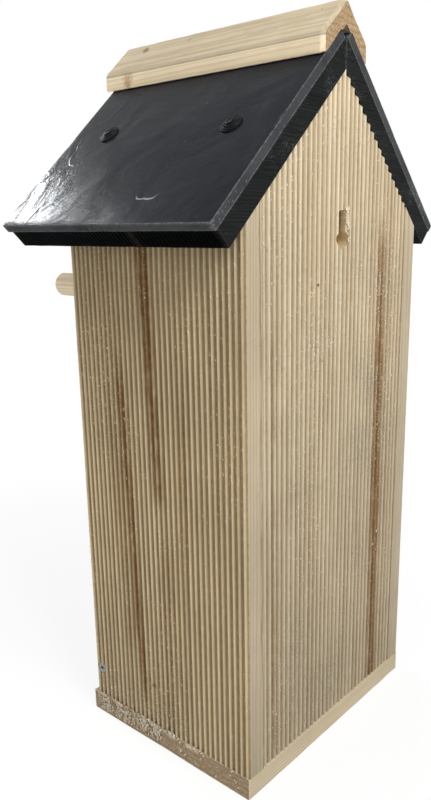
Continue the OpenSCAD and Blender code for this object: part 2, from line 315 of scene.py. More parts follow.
def pineBoard(name, changes):
    look = {**pineLook, **changes}
    tint, crest, foot = look["tint"], look["crest"], look["foot"]
    material, shader, place, parts = startMaterial(name, 0.72, pineFinish["gloss"])
    grain = useGrain(parts, look["axis"], look["seed"], look["lines"])
    colour = mixColour(remap(grain["Blotch"], 0.3, 0.7), pineTones["pale"], pineTones["plain"])
    colour = tinge(grain["Growth"], pineFinish["growth"], colour, pineTones["line"])
    fibre = remap(grain["Fibre"], 0.45, 0.75, 0.0, pineFinish["fibre"])
    colour = mixColour(fibre, colour, pineTones["line"])
    for across, centre, lean, width, start, end, depth in look["streaks"]:
        streak = useGroup(streakGroup, {
            "Across": parts[across], "Up": parts["xyz".index(look["axis"])], "Centre": centre, "Lean": lean,
            "Width": width, "Low": start, "High": end})
        colour = tinge(streak["Mask"], depth, colour, pineTones["heart"])
    for centre, size, fill, rim in look["knots"]:
        knot = useGroup(knotGroup, {"Vector": place, "Centre": centre, "Size": size})
        colour = tinge(knot["Mask"], fill, colour, pineTones["heart"])
        colour = tinge(knot["Rim"], rim, colour, pineTones["knotRim"])
    for centre, size in look["dots"]:
        dot = useGroup(knotGroup, {"Vector": place, "Centre": centre, "Size": size})
        colour = tinge(dot["Mask"], 0.95, colour, pineTones["dot"])
    specks = speckled(place, look["fuzz"])
    if look["rib"]:
        across, start, pitch = look["rib"]
        bands = useGroup(ribGroup, {"Across": minus(parts[across], start), "Pitch": pitch})
        # painted shade: the rib grooves are darkened and warmed in colour to stand for the shade that falls in them
        grooveShade = remap(bands["Crest"], crest[0], crest[1], look["low"], 1.0)
        paintedGrooveShade = combine("Color", grooveShade, calc("POWER", grooveShade, pineFinish["shadeGreenPower"]),
                             calc("POWER", grooveShade, pineFinish["shadeBluePower"]))
        colour = mixColour(1.0, colour, paintedGrooveShade, "MULTIPLY")
        specks = times(specks, remap(bands["Crest"], 0.4, 0.8))
    colour = tinge(specks, pineFinish["specks"], colour, pineTones["fuzz"])
    if look["edge"]:
        worn = wornEdges(place, pineFinish["wornWidth"])
        colour = tinge(worn, pineFinish["worn"], colour, pineTones["fuzz"])
    # random darker patches of grime carry the board's tint; for lit copies such as the ridge cap's sides, that tint
    # is painted light
    clean, dirty = pineFinish["grimeAndLitTint"]
    grimeAndLitTint = remap(noiseAt(place, 11.0, 4.0, 0.6), 0.35, 0.7, clean * tint, dirty * tint)
    # painted shade and light: the board is darkened at its foot and lightened towards the roof line
    shade = times(grimeAndLitTint, remap(parts[2], foot[2], pineFinish["roofLine"], foot[0], foot[1]))
    shadeTone = combine("Color", shade, times(shade, 1 - 0.3 * (1 - look["warm"])),
                        times(shade, look["warm"]))
    colour = mixColour(1.0, colour, shadeTone, "MULTIPLY")
    height = plus(times(grain["Fibre"], 0.5), times(specks, 1.4))
    finishMaterial(shader, colour, height, pineFinish["bump"],
                   remap(grain["Fibre"], 0.3, 0.8, *pineFinish["rough"]))
    return material


def pineEnd(name, orange, tint):     # sawn end grain, furry and full of pores
    material, shader, place, parts = startMaterial(name, 0.85, pineFinish["gloss"])
    pores = noiseAt(place, 1500.0, 3.0, 0.8)
    clumps = noiseAt(place, 520.0, 3.0, 0.6)
    bowed = plus(parts[2], times(noiseAt(place, 30.0, 2.0), 0.012))
    arcs = calc("SINE", times(bowed, 1900.0))
    base = tuple(a * (1 - orange) + b * orange for a, b in zip(pineTones["endGrain"], pineTones["orange"]))
    colour = mixColour(remap(clumps, 0.35, 0.65), base, pineTones["plain"])
    colour = mixColour(remap(arcs, 0.1, 1.0, 0.0, 0.35), colour, pineTones["endPore"])
    colour = mixColour(remap(pores, 0.48, 0.66, 0.0, 0.85), colour, pineTones["endPore"])
    specks = speckled(place, 1.0, 1100.0, 60.0)
    colour = tinge(specks, 0.9, colour, pineTones["fuzz"])
    colour = mixColour(1.0, colour, (tint, tint, tint), "MULTIPLY")
    finishMaterial(shader, colour, plus(times(pores, 0.8), specks), 0.0006)
    return material


paintTones = {"worn": (0.10, 0.095, 0.085), "dust": (0.13, 0.135, 0.13), "joint": (0.16, 0.16, 0.15), "raised": 2.6}
paintLooks = {      # saw is the depth of the saw marks; joint is the bare line where the two slopes meet
    "blackDeckFace": {"axis": "y", "seed": 0.2, "tone": (0.008, 0.0085, 0.009), "saw": 0.0, "gloss": 0.0875,
                      "dust": 0.3, "joint": False},
    # painted shade: the eave end of the black deck gets a far darker, less glossy, less dusty tone than its other
    # faces, for the shade it lies in; the saw marks are real
    "blackDeckEaveShaded": {"axis": "y", "seed": 0.9, "tone": (0.0011, 0.0013, 0.0016), "saw": 0.8, "gloss": 0.0105,
                      "dust": 0.02, "joint": False},
    "blackDeckEnd": {"axis": "x", "seed": 1.4, "tone": (0.0080, 0.0085, 0.0086), "saw": 0.0, "gloss": 0.0525,
                     "dust": 0.3, "joint": True},
}


def blackPaint(name):
    look = paintLooks[name]
    material, shader, place, parts = startMaterial(name, 0.6, look["gloss"])
    grain = useGrain(parts, look["axis"], look["seed"], 300.0)
    raised = tuple(c * paintTones["raised"] for c in look["tone"])
    colour = mixColour(remap(grain["Fibre"], 0.4, 0.75, 0.0, 0.8), look["tone"], raised)
    colour = tinge(wornEdges(place, 0.0009, 420.0), 0.5, colour, paintTones["worn"])
    colour = tinge(speckled(place, 1.0, 900.0, 40.0), look["dust"], colour, paintTones["dust"])
    if look["joint"]:
        line = remap(distance(parts[0]), 0.0002, 0.0009, 0.75, 0.0, True)
        colour = tinge(line, remap(grain["Fibre"], 0.3, 0.6), colour, paintTones["joint"])
    height = plus(times(grain["Fibre"], 0.8), times(grain["Growth"], 0.4))
    if look["saw"]:
        strokes = calc("SINE", times(parts[1], 2100.0))
        height = plus(height, times(strokes, look["saw"]))
    finishMaterial(shader, colour, height, 0.0006, remap(grain["Blotch"], 0.3, 0.7, 0.55, 0.8))
    return material


sheetLooks = {
    "slateRubberTop": {"dark": (0.0064, 0.0082, 0.0115), "pale": (0.0120, 0.0142, 0.0185), "specks": 0.3,
                       "speckTone": (0.32, 0.32, 0.31), "rough": (0.20, 0.27), "ripple": 0.17, "gloss": 0.04,
                       "bump": 0.0006, "chalk": (0.14, 0.145, 0.15), "scuff": (0.5, 0.5, 0.5),
                       "scuffPlace": (0.0961, 0.0108, 0.339), "scuffHalf": 0.0085, "scuffHook": 0.0030},
    "slateRubberEdge": {"dark": (0.026, 0.028, 0.031), "pale": (0.060, 0.063, 0.067), "specks": 0.9,
                        "speckTone": (0.2, 0.2, 0.2), "rough": (0.55, 0.75), "ripple": 1.2, "gloss": 0.10,
                        "bump": 0.0007},
}


def sheetMarks(place, cloud, colour, look):       # chalky patches and one small hooked scuff
    chalk = times(remap(noiseAt(place, 70.0, 6.0, 0.7), 0.55, 0.75), remap(cloud, 0.45, 0.7))
    colour = tinge(chalk, 0.16, colour, look["chalk"])
    parts = separate(vectorCalc("SUBTRACT", place, look["scuffPlace"], 0))
    along = distance(parts[1])
    hook = calc("POWER", calc("DIVIDE", along, look["scuffHalf"]), 6.0)
    shaky = times(minus(noiseAt(place, 110.0, 2.0), 0.5), 0.0026)
    bend = distance(plus(parts[2], shaky), times(hook, look["scuffHook"]))
    line = remap(bend, 0.0001, 0.0006, 1.0, 0.0, True)
    reach = remap(along, 0.006, 0.009, 1.0, 0.0, True)
    return tinge(times(line, reach), 0.6, colour, look["scuff"])


def sheetRubber(name):       # cleft slate look, dusty, with a cloudy sheen
    look = sheetLooks[name]
    material, shader, place, parts = startMaterial(name, 0.42, look["gloss"])
    cleft = noiseAt(place, 26.0, 3.0, 0.45, 0.6)
    woven = combine("XYZ", parts[0], times(parts[1], 0.45), parts[2])
    ripple = noiseAt(woven, 420.0, 3.0, 0.6, 0.8)
    crease = remap(distance(noiseAt(place, 17.0, 2.0, 0.5, 0.6), 0.5), 0.0, 0.010, 1.0, 0.0, True)
    crease = times(crease, remap(parts[1], -0.080, -0.055, 1.0, 0.0, True))     # only towards the front
    cloud = noiseAt(place, 26.0, 4.0, 0.6, 0.3)
    colour = mixColour(remap(cloud, 0.3, 0.7), look["dark"], look["pale"])
    if "scuff" in look:
        colour = sheetMarks(place, cloud, colour, look)
    colour = tinge(wornEdges(place, 0.001, 700.0), 0.85, colour, (0.27, 0.275, 0.28))
    colour = tinge(speckled(place, look["specks"], 600.0), 0.5, colour, look["speckTone"])
    height = plus(times(cleft, 1.7), times(ripple, look["ripple"]))
    height = plus(height, times(crease, 0.14))
    finishMaterial(shader, colour, height, look["bump"], remap(ripple, 0.3, 0.7, *look["rough"]))
    return material


washerTones = {"dark": (0.0030, 0.0033, 0.0040), "pale": (0.008, 0.0085, 0.0095), "worn": (0.06, 0.062, 0.065),
               "dust": (0.16, 0.16, 0.155)}


def washerRubber(name):
    material, shader, place, parts = startMaterial(name, 0.42, 0.06)
    colour = mixColour(noiseAt(place, 260.0), washerTones["dark"], washerTones["pale"])
    colour = tinge(wornEdges(place, 0.0004, 700.0), 0.35, colour, washerTones["worn"])
    colour = tinge(speckled(place, 0.6, 1300.0, 90.0), 0.4, colour, washerTones["dust"])
    finishMaterial(shader, colour, noiseAt(place, 1200.0, 3.0), 0.00012)
    return material


def screwMetal(name, tone, metallic, rough):
    material, shader, place, parts = startMaterial(name, rough)
    shader.inputs["Metallic"].default_value = metallic
    stain = noiseAt(place, 700.0, 4.0, 0.7)
    colour = mixColour(remap(stain, 0.4, 0.7), tone, tuple(c * 0.55 for c in tone))
    bare = tuple(min(1.0, c * 1.5 + 0.05) for c in tone)
    colour = tinge(wornEdges(place, 0.0003, 900.0), 0.4, colour, bare)
    finishMaterial(shader, colour, stain, 0.00006, remap(stain, 0.3, 0.7, rough, rough + 0.2))
    return material


insidePine = pineBoard("sawnPineInside", {"seed": 1.21, "edge": False, "fuzz": 0.3})
plainUpright = pineBoard("planedPineUpright", {
    "seed": 0.83, "lines": 170.0, "streaks": [(0, 0.0733, 0.0, 0.0011, 0.0, 0.36, 0.6)], "tint": 0.77, "fuzz": 0.8})
# the torn fibres are pale of their own, and the strong tint also paints on the highlight they catch
tornFibre = pineBoard("tornFibre", {
    "seed": 2.9, "lines": 300.0, "edge": False, "fuzz": 1.0, "tint": 1.66, "warm": 1.12})
wallEnd = pineEnd("wallEndGrain", 0.35, 1.25)
zincMetal = screwMetal("zincSteel", (0.34, 0.34, 0.33), 1.0, 0.38)
# painted shade: the cross recess of the zinc screws gets a near-black steel, standing for the shade inside it
recessShadeMetal = screwMetal("recessShadeSteel", (0.03, 0.03, 0.03), 0.6, 0.6)
blackMetal = screwMetal("blackScrew", (0.02, 0.02, 0.021), 0.2, 0.45)
print("nest box: shared materials ready")


# mesh helpers
softAngle = math.radians(38)        # edges sharper than this stay sharp


def finishPiece(name, bm, materials, body, replaced):
    mesh = bpy.data.meshes.new(name)
    bm.to_mesh(mesh)
    bm.free()
    for material in materials:
        mesh.materials.append(material)
    for polygon in mesh.polygons:
        polygon.use_smooth = True
    piece = addObject(name, mesh)
    mesh.set_sharp_from_angle(angle=softAngle)
    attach(piece, body)
    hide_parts(*replaced)
    return piece


def joinRings(bm, rings, kindAt=None):       # walls from each ring of points to the next
    size = len(rings[0])
    for below, above in zip(rings, rings[1:]):
        for i in range(size):
            j = (i + 1) % size
            face = bm.faces.new((below[i], below[j], above[j], above[i]))
            face.material_index = kindAt(i) if kindAt else 0


def pointOutwards(bm):
    bmesh.ops.recalc_face_normals(bm, faces=bm.faces)
    return bm


def around(radius, angle):
    return radius * math.cos(angle), radius * math.sin(angle)


def circlePoints(radius, steps, height):
    return [(*around(radius, 2 * math.pi * i / steps), height) for i in range(steps)]


def roundCorners(points, radius, steps=3):   # fillets the corners of a closed outline
    rounded = []
    for i, point in enumerate(points):
        here, before, after = Vector(point), Vector(points[i - 1]), Vector(points[(i + 1) % len(points)])
        toBefore, toAfter = (before - here), (after - here)
        r = min(radius, toBefore.length * 0.3, toAfter.length * 0.3)
        first, last = here + toBefore.normalized() * r, here + toAfter.normalized() * r
        for s in range(steps + 1):
            t = s / steps
            rounded.append(((1 - t) ** 2 * first + 2 * t * (1 - t) * here + t ** 2 * last, i))
    return rounded


barFinish = {       # corner radius, step between rings, unevenness
    "base": (0.0006, 0.004, 0.00018), "deck": (0.0005, 0.005, 0.0002), "sheet": (0.0006, 0.004, 0.0002),
    "cap": (0.0022, 0.0035, 0.00022)}


def barMesh(outline, axis, low, high, finish, seed, kinds=None):
    # a bar of one outline, its faces split finely enough to be uneven, ends chamfered
    radius, step, rough = barFinish[finish]
    bm = bmesh.new()
    ring = []
    corners = roundCorners(outline, radius)
    for i, (point, corner) in enumerate(corners):
        nextPoint, nextCorner = corners[(i + 1) % len(corners)]
        ring.append((point, corner))
        span = (nextPoint - point).length
        if nextCorner != corner and span > step:
            for s in range(1, int(span / step) + 1):
                ring.append((point.lerp(nextPoint, s / (int(span / step) + 1)), corner))
    middle = sum((p for p, c in ring), Vector((0, 0))) / len(ring)
    count = max(2, int((high - low) / step))
    stations = [low, low + radius] + [low + (high - low) * i / count for i in range(1, count)] + [high - radius, high]

    def place(point, along):
        return Vector((along, point[0], point[1])) if axis == "x" else Vector((point[0], along, point[1]))

    rows = []
    for k, along in enumerate(stations):
        drawnIn = radius * 0.6 if k in (0, len(stations) - 1) else 0.0
        row = []
        for point, corner in ring:
            inset = (middle - point).normalized() * drawnIn
            spot = place(point + inset, along)
            push = rough * (wobble(spot.x * 90 + seed, spot.y * 90, spot.z * 90) + 0.5 * wobble(
                spot.x * 400 + seed, spot.y * 400, spot.z * 400) - 0.5)
            row.append(bm.verts.new(place(point + inset + (point - middle).normalized() * push, along)))
        rows.append(row)
    joinRings(bm, rows, lambda i: (kinds or {}).get(ring[i][1], 0))
    for row in (rows[0][::-1], rows[-1]):
        bm.faces.new(row).material_index = 1
    return pointOutwards(bm)


def sweep(profile, steps):      # turns a list of (radius, height) about the Z axis
    bm = bmesh.new()
    rows = []
    for radius, height in profile:
        points = circlePoints(radius, steps, height) if radius > 1e-7 else [(0, 0, height)]
        rows.append([bm.verts.new(point) for point in points])
    for below, above in zip(rows, rows[1:]):
        for i in range(steps):
            j = (i + 1) % steps
            ends = [below[i % len(below)], below[j % len(below)], above[j % len(above)], above[i % len(above)]]
            unique = list(dict.fromkeys(ends))
            if len(unique) > 2:
                bm.faces.new(unique)
    return pointOutwards(bm)


def cutWith(piece, cutters):
    for cutter in cutters:
        cut = piece.modifiers.new("cut", "BOOLEAN")
        cut.operation, cut.object, cut.solver, cut.material_mode = "DIFFERENCE", cutter, "EXACT", "TRANSFER"
    bpy.context.view_layer.update()
    shaped = bpy.data.meshes.new_from_object(piece.evaluated_get(bpy.context.evaluated_depsgraph_get()))
    piece.modifiers.clear()
    old = piece.data
    piece.data = shaped
    shaped.name = piece.name
    bpy.data.meshes.remove(old)
    shaped.set_sharp_from_angle(angle=softAngle)
    for cutter in cutters:
        bpy.data.objects.remove(cutter)


def cutterFrom(rings, material):     # closes two matching rings into a solid that leaves its material in the cut
    bm = bmesh.new()
    rings = [[bm.verts.new(point) for point in ring] for ring in rings]
    joinRings(bm, rings)
    bm.faces.new(rings[0][::-1])
    bm.faces.new(rings[1])
    mesh = bpy.data.meshes.new("cutter")
    pointOutwards(bm).to_mesh(mesh)
    bm.free()
    mesh.materials.append(material)
    return addObject("cutter", mesh)


def rodCutter(radius, start, end, material, steps, jag=0.0, seed=0.0):
    start, axis = Vector(start), Vector(end) - Vector(start)
    turn = axis.to_track_quat("Z", "Y").to_matrix()
    ring = []
    for i in range(steps):
        ragged = radius + jag * wobble(i * 0.9, seed, 1.0)
        ring.append(turn @ Vector((*around(ragged, 2 * math.pi * i / steps), 0)))
    return cutterFrom([[start + axis * t + spot for spot in ring] for t in (0.0, 1.0)], material)


def slabCutter(outline, y0, y1, material):    # an upright outline in x and z, from y0 to y1
    return cutterFrom([[(x, y, z) for x, z in outline] for y in (y0, y1)], material)


# ribbed boards
ribLook = {"steps": 10, "rows": 84, "wander": 0.00016, "chip": 0.0003, "chipFrom": 0.28, "rough": 0.00005,
           "crestPower": 1.9}


def ribbedBoard(name, width, toWorld, zLow, topDrop, face, body, node, seed, hasApex):
    # outer face ribbed, all others flat; toWorld(across, out) gives x and y, out 0 at the crests
    bm = bmesh.new()
    columns = boxSizes["ribs"] * ribLook["steps"]

    def topAt(x):
        return underRoof(x) - topDrop

    grid = []
    for r in range(ribLook["rows"] + 1):
        t = r / ribLook["rows"]
        row = []
        for c in range(columns + 1):
            u = width * c / columns
            dip = abs(math.cos(math.pi * c / ribLook["steps"])) ** ribLook["crestPower"]
            edge = c in (0, columns)
            ribIndex = int(c / ribLook["steps"])
            wander = 0.0 if edge else ribLook["wander"] * wobble(ribIndex * 1.7 + seed, t * 11, seed)
            out = -boxSizes["ribDepth"] * dip
            x, y = toWorld(u, out)
            z = zLow + t * (topAt(x) - zLow)
            chip = wobble(c * 0.55 + seed, z * 420, 3.1) - ribLook["chipFrom"]
            if chip > 0 and not edge:
                out -= ribLook["chip"] * chip * 3 * (1 - dip)
            out += ribLook["rough"] * (wobble(c * 0.9, z * 900, seed) - 1)
            x, y = toWorld(u + wander, min(out, 0.0))
            row.append(bm.verts.new((x, y, z)))
        grid.append(row)
    for r in range(ribLook["rows"]):
        for c in range(columns):
            bm.faces.new((grid[r][c], grid[r][c + 1], grid[r + 1][c + 1], grid[r + 1][c])).material_index = 0
    inner = {}
    for c in ([0, columns // 2, columns] if hasApex else [0, columns]):
        x, y = toWorld(width * c / columns, -boxSizes["wall"])
        inner[c] = (bm.verts.new((x, y, zLow)), bm.verts.new((x, y, topAt(x))))
    keys = sorted(inner)
    for left, right in zip(keys, keys[1:]):
        bm.faces.new([inner[left][0], inner[right][0], inner[right][1], inner[left][1]]).material_index = 1
        bm.faces.new(grid[-1][left:right + 1] + [inner[right][1], inner[left][1]]).material_index = 2
        bm.faces.new(grid[0][left:right + 1] + [inner[right][0], inner[left][0]]).material_index = 2
    for c in (0, columns):
        bm.faces.new([row[c] for row in grid] + [inner[c][1], inner[c][0]]).material_index = 3
    return finishPiece(name, pointOutwards(bm), [face, insidePine, wallEnd, plainUpright], body, [node])


def addFibres(piece, batch, toWorld, width, skip):
    # short torn fibres standing on the board, in patches; each is a bent ribbon rooted in the wood
    picked = random.Random(batch["seed"])
    patches, scale = batch["patches"], batch.get("scale", 1.0)
    bm = bmesh.new()
    bm.from_mesh(piece.data)
    piece.data.materials.append(tornFibre)
    index = len(piece.data.materials) - 1
    pitch = width / boxSizes["ribs"]
    made = 0
    for attempt in range(60 * batch["count"]):
        if made == batch["count"]:
            break
        rib, z = picked.randrange(boxSizes["ribs"]), picked.uniform(batch["low"], batch["high"])
        u = (rib + 0.5 + picked.uniform(-0.34, 0.34)) * pitch
        patch = wobble(u * patches, z * patches * 0.55, batch["seed"])
        if patch < picked.uniform(-0.05, 0.5) or skip(u - width / 2, z):
            continue
        lean, reach = picked.uniform(-0.9, 0.9), scale * picked.uniform(0.0005, 0.0016)
        lift, half = scale * picked.uniform(0.0001, 0.0004), scale * picked.uniform(0.00009, 0.0002)
        turn = batch["twist"] + picked.uniform(-0.5, 0.5)
        flat, edge = half * math.cos(turn), half * math.sin(turn)
        rows = []
        for along, out in ((0.0, -0.00022), (0.45, lift), (1.0, lift * picked.uniform(0.2, 1.1))):
            du, dz = along * reach * math.sin(lean), along * reach * math.cos(lean)
            rows.append([bm.verts.new((*toWorld(u + du + s * flat * math.cos(lean), out + s * edge),
                                       z + dz - s * flat * math.sin(lean))) for s in (-1, 1)])
        for below, above in zip(rows, rows[1:]):
            bm.faces.new((below[0], below[1], above[1], above[0])).material_index = index
        made += 1
    bm.to_mesh(piece.data)
    bm.free()


backPitch = 2 * innerHalf / boxSizes["ribs"]
sidePitch = (backY - frontY) / boxSizes["ribs"]
pivot = {"y": -0.0635, "z": 0.0333, "radius": 0.00175, "head": 0.0035, "play": 0.0001, "seatPlay": 0.0003,
         "seatDeep": 0.0012, "seatRagged": 0.0004}

backBoard = {
    "look": {"seed": 0.0, "lines": 200.0, "rib": (0, -innerHalf, backPitch), "tint": 0.94, "fuzz": 0.9, "low": 0.46,
             "crest": (0.12, 1.0), "foot": (0.81, 1.22, 0.12), "dots": [((0.0230, 0.0690, 0.2937), 0.0012)],
             "streaks": [(0, -0.0476, 0.008, 0.0092, 0.0, 0.34, 0.90), (0, -0.0484, 0.008, 0.0045, 0.0, 0.29, 0.98),
                         (0, -0.0560, 0.0, 0.0130, 0.0, 0.38, 0.22), (0, 0.0625, 0.004, 0.0022, 0.01, 0.29, 0.5)]},
    "fibres": {"count": 1500, "patches": 24.0, "seed": 5, "low": 0.02, "high": 0.39, "twist": 0.2},
    "keyholeFibres": {"count": 120, "patches": 300.0, "seed": 31, "low": 0.309, "high": 0.3350, "twist": 0.2,
                      "scale": 1.5},
    "pocket": {"seed": 1.9, "lines": 260.0, "edge": False, "fuzz": 0.15, "tint": 0.95, "warm": 0.78},
}
keyhole = {"mouth": 0.0055, "slotHalf": 0.0033, "mouthZ": 0.3182, "topZ": 0.3346, "deep": 0.0076, "lip": 0.0036,
           "ragged": 0.0003, "tornStart": -0.0064, "tornWidth": 0.0036, "tornCentre": 0.0046}


def backPlace(u, out):
    return -innerHalf + u, backY + out


def keyholeOutline():        # a round mouth with a rounded slot above it, a little ragged
    radius, slotHalf, mouthZ, topZ = (keyhole[k] for k in ("mouth", "slotHalf", "mouthZ", "topZ"))
    ragged, points, turns = keyhole["ragged"], [], 26
    start = math.asin(slotHalf / radius)
    for i in range(turns + 1):
        a = math.pi / 2 + start + (2 * math.pi - 2 * start) * i / turns
        x, rise = around(radius + ragged * wobble(i * 0.8, 0.0, 5.0), a)
        points.append((x, mouthZ + rise))

    def slotEdge(i, side, shift):
        z = mouthZ + radius + (topZ - slotHalf - mouthZ - radius) * i / 6
        return side * slotHalf + ragged * wobble(i * 1.9, shift, 5.0), z

    points += [slotEdge(i, 1, 2.0) for i in range(1, 6)]
    for i in range(9):
        x, rise = around(slotHalf, math.pi * i / 8)
        points.append((x, topZ - slotHalf + rise))
    return points + [slotEdge(i, -1, 9.0) for i in range(5, 0, -1)]


def halfCircle(start, centreZ):     # half of the wide channel's outline behind the slot's lips
    points = [around(keyhole["mouth"], start + math.pi * i / 12) for i in range(13)]
    return [(x, centreZ + rise) for x, rise in points]


backPiece = ribbedBoard("backBoard", 2 * innerHalf, backPlace, baseTop, 0.0,
                        pineBoard("ribbedPineBack", backBoard["look"]), "box", "back_wall", 1.3, True)
pocketPine = pineBoard("pocketPine", backBoard["pocket"])
channel = halfCircle(math.pi, keyhole["mouthZ"]) + halfCircle(0.0, keyhole["topZ"] - keyhole["slotHalf"])
cutWith(backPiece, [
    slabCutter(keyholeOutline(), backY - keyhole["deep"], backY + 0.002, pocketPine),
    slabCutter(channel, backY - keyhole["deep"] - 0.0001, backY - keyhole["lip"], pocketPine)])
addFibres(backPiece, backBoard["fibres"], backPlace, 2 * innerHalf,
          lambda x, z: (abs(x) < 0.0035 and 0.313 < z < 0.337) or z > underRoof(x) - 0.002)
addFibres(backPiece, backBoard["keyholeFibres"], lambda u, out: (keyhole["tornStart"] + u, backY + out),
          keyhole["tornWidth"],
          lambda x, z: math.hypot(x - keyhole["tornCentre"], z - keyhole["mouthZ"]) < keyhole["mouth"])

sideBoards = {
    "Right": {
        "side": 1, "seed": 4.1, "node": "side_wall_right",
        "look": {"seed": 0.17, "lines": 190.0, "rib": (1, frontY, sidePitch), "fuzz": 1.0, "low": 0.46, "warm": 0.84,
                 "crest": (0.45, 1.0), "foot": (0.94, 1.06, 0.0),
                 "knots": [((0.0860, -0.0099, 0.0418), 0.0018, 0.8, 0.7)],
                 "streaks": [
                     (1, 0.0087, -0.047, 0.0085, 0.160, 0.470, 0.80), (1, 0.0080, -0.047, 0.0042, 0.215, 0.520, 0.98),
                     (1, 0.0104, -0.047, 0.0050, 0.235, 0.420, 0.75), (1, -0.0178, -0.048, 0.0056, 0.02, 0.265, 0.88),
                     (1, -0.0270, -0.045, 0.0120, 0.05, 0.34, 0.3), (1, 0.0050, -0.01, 0.0060, 0.0, 0.16, 0.35),
                     (1, 0.022, 0.0, 0.0026, 0.03, 0.25, 0.3)]},
        "fibres": {"count": 1700, "patches": 22.0, "seed": 9, "low": 0.02, "high": 0.325, "twist": 1.1}},
    "Left": {
        "side": -1, "seed": 7.7, "node": "side_wall_left",
        "look": {"seed": 0.47, "lines": 195.0, "rib": (1, frontY, sidePitch), "tint": 0.88, "fuzz": 0.9, "low": 0.55,
                 "streaks": [(1, 0.018, 0.01, 0.0036, 0.03, 0.30, 0.6)],
                 "knots": [((-0.0860, 0.03, 0.21), 0.003, 0.6, 0.6)]},
        "fibres": {"count": 900, "patches": 22.0, "seed": 7, "low": 0.02, "high": 0.325, "twist": 1.1}},
}


def pivotRod(radius, start, end, steps, jag=0.0, seed=0.0):      # a hole along the panel's pivot line
    y, z = pivot["y"], pivot["z"]
    return rodCutter(radius, (start, y, z), (end, y, z), wallEnd, steps, jag, seed)


for word, board in sideBoards.items():
    side = board["side"]

    def sidePlace(u, out):
        return side * (halfWidth + out), frontY + u

    wall = ribbedBoard("sideBoard" + word, backY - frontY, sidePlace, baseTop, 0.0,
                       pineBoard("ribbedPine" + word, board["look"]), "box", board["node"], board["seed"], False)
    cutWith(wall, [
        pivotRod(pivot["head"] + pivot["seatPlay"], side * (halfWidth - pivot["seatDeep"]),
                 side * (halfWidth + 0.002), 24, pivot["seatRagged"], 3.0 + side),
        pivotRod(pivot["radius"] + pivot["play"], side * 0.06, side * (halfWidth + 0.001), 20)])
    addFibres(wall, board["fibres"], sidePlace, backY - frontY, lambda y, z: y < -0.058 and z < 0.04)

frontPanel = {
    "gap": 0.0007, "footGap": 0.0024, "topGap": 0.001, "seed": 11.9, "entrance": 0.0235, "entranceZ": 0.326,
    "look": {"seed": 0.31, "lines": 210.0, "rib": (0, -innerHalf, backPitch), "tint": 0.88, "fuzz": 0.8, "low": 0.6,
             "streaks": [(0, 0.036, 0.0, 0.003, 0.05, 0.33, 0.45)],
             "knots": [((-0.030, -0.0690, 0.15), 0.0035, 0.6, 0.6)]},
    "fibres": {"count": 700, "patches": 24.0, "seed": 21, "low": 0.03, "high": 0.38, "twist": 0.2},
}
perch = {"radius": 0.0090, "height": 0.2827, "tip": -0.197, "inside": -0.05905, "edge": 0.0026, "rings": 24,
         "uneven": 0.00008, "socketPlay": 0.00006, "socketDeep": 0.010,
         "look": {"axis": "y", "seed": 3.1, "lines": 150.0, "tint": 1.4, "fuzz": 0.25}}
panelWidth = 2 * (innerHalf - frontPanel["gap"])


def frontPlace(u, out):
    return -innerHalf + frontPanel["gap"] + u, frontY - out


def panelHole(radius, z, deep, steps, jag=0.0, seed=0.0):
    return rodCutter(radius, (0, frontY - 0.002, z), (0, frontY + deep, z), wallEnd, steps, jag, seed)


def offPanel(x, z):     # where the panel has no face to carry a fibre
    return (math.hypot(x, z - frontPanel["entranceZ"]) < 0.026 or math.hypot(x, z - perch["height"]) < 0.011
            or z > underRoof(x) - 0.003)


frontPiece = ribbedBoard("frontPanel", panelWidth, frontPlace, baseTop + frontPanel["footGap"],
                         frontPanel["topGap"] / slopeCos, pineBoard("ribbedPineFront", frontPanel["look"]), "front",
                         "front_panel", frontPanel["seed"], True)
cutWith(frontPiece, [panelHole(frontPanel["entrance"], frontPanel["entranceZ"], 0.02, 72, 0.0002, 1.0),
                     panelHole(perch["radius"] + perch["socketPlay"], perch["height"], perch["socketDeep"], 48)]
        + [pivotRod(pivot["radius"] + pivot["play"], s * 0.0545, s * 0.075, 20) for s in (1, -1)])
addFibres(frontPiece, frontPanel["fibres"], frontPlace, panelWidth, offPanel)
print("nest box: ribbed boards ready")


# base, perch and roof
baseBoard = {
    "look": {"axis": "x", "seed": 1.7, "tint": 1.12, "fuzz": 0.3}, "endOrange": 0.12, "endTint": 0.86,
    "fibres": [     # low is the lowest point; rear is the rearmost one, from the middle of the board's end
        {"count": 620, "seed": 41, "low": 0.0012, "rear": -0.004},
        {"count": 300, "seed": 43, "low": 0.0108, "rear": 0.034},
        {"count": 110, "seed": 47, "low": 0.0012, "rear": 1.0}],
    "fibreLook": {"patches": 110.0, "high": baseTop - 0.0006, "twist": 0.2, "scale": 2.3},
}
baseFront = boxSizes["baseFront"]
baseBar = barMesh([(baseFront, 0.0), (backY, 0.0), (backY, baseTop), (baseFront, baseTop)], "x", -halfWidth,
                  halfWidth, "base", 2.0)
baseEnd = pineEnd("baseEndGrain", baseBoard["endOrange"], baseBoard["endTint"])
basePiece = finishPiece("baseBoard", baseBar, [pineBoard("planedPineBase", baseBoard["look"]), baseEnd], "box",
                        ["base_board"])
for batch in baseBoard["fibres"]:
    addFibres(basePiece, {**baseBoard["fibreLook"], **batch}, lambda u, out: (halfWidth + out, baseFront + u),
              backY - baseFront, lambda y, z: y > batch["rear"])


